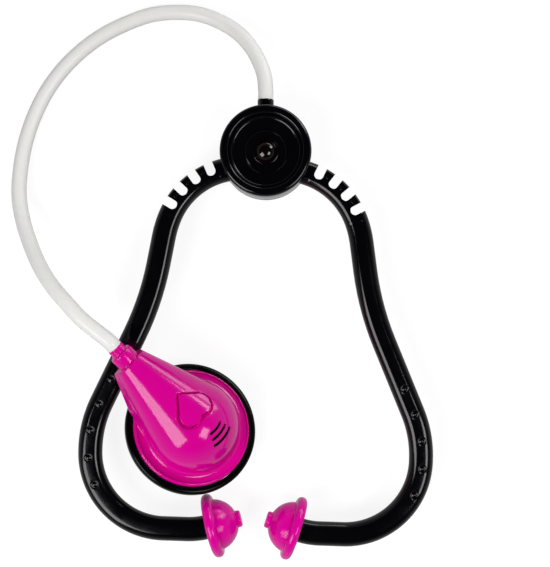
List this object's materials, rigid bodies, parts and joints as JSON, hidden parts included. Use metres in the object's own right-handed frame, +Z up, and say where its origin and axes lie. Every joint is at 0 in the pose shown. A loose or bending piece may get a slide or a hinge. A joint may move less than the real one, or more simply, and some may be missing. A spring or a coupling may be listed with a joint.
{
  "type": "toy stethoscope",
  "caption": "Toy stethoscope: round hub, headset arms on notched flexing combs, soft ear tips, soft tube, and a domed chest piece with a heart-shaped sound button.",
  "frame": {"origin": "centre of the hub's flat back face, on the table that the toy lies on", "axes": "+Z up from the table along the hub's axis, +Y from the ear tips towards the hub's tube collar, +X towards the right arm"},
  "size_m": [0.1737, 0.2283, 0.0355],
  "materials": {
    "black_plastic": "gloss",
    "magenta_plastic": "gloss",
    "stud_plastic": "gloss",
    "soft_tube": "milky, half clear",
    "black_rubber": "satin",
    "steel": "satin",
    "brass": "satin",
    "board": "satin",
    "resin": "gloss",
    "switch_plastic": "matte",
    "paper": "matte"
  },
  "bodies": {
    "hub": {"hub_cup": "black_plastic", "hub_back_cover": "black_plastic", "hub_screws": "steel", "hub_dish": "black_plastic", "hub_stud": "stud_plastic", "left_flex_comb": "black_plastic", "right_flex_comb": "black_plastic", "tube": "soft_tube"},
    "left_arm": {"left_arm": "black_plastic", "left_ear_tip": "magenta_plastic"},
    "right_arm": {"right_arm": "black_plastic", "right_ear_tip": "magenta_plastic"},
    "chest": {"tube_ferrule": "magenta_plastic", "chest_shell": "magenta_plastic", "rim_ring": "black_rubber", "base_plate": "black_plastic", "base_screws": "steel", "battery_door": "black_plastic", "battery_door_screw": "steel", "button_cells": "steel", "battery_contacts": "brass", "circuit_board": "board", "sound_chip": "resin", "tact_switch": "switch_plastic", "speaker_can": "steel", "speaker_cone": "paper"},
    "heart": {"heart_button": "magenta_plastic", "switch_plunger": "switch_plastic"}
  },
  "joints": [
    {"name": "left_arm_flex", "type": "hinge", "parent": "hub", "child": "left_arm", "pos_m": [-0.02907, -0.01689, 0.013], "axis": [0, 0, -1], "range_deg": [-1.5, 25], "stiffness_Nm_per_rad": 0.3, "deforming": ["left_flex_comb"]},
    {"name": "right_arm_flex", "type": "hinge", "parent": "hub", "child": "right_arm", "pos_m": [0.02788, -0.01878, 0.013], "axis": [0, 0, 1], "range_deg": [-1.5, 25], "stiffness_Nm_per_rad": 0.3, "deforming": ["right_flex_comb"]},
    {"name": "chest_lift", "type": "hinge", "parent": "hub", "child": "chest", "pos_m": [-0.086, 0.031, 0.003], "axis": [-0.8, 0.6, 0], "range_deg": [0, 45], "deforming": ["tube"]},
    {"name": "heart_press", "type": "slide", "parent": "chest", "child": "heart", "axis": [-0.2854, -0.3389, -0.8965], "range_m": [0, 0.0008], "stiffness_N_per_m": 800, "springref_m": -0.0008}
  ]
}
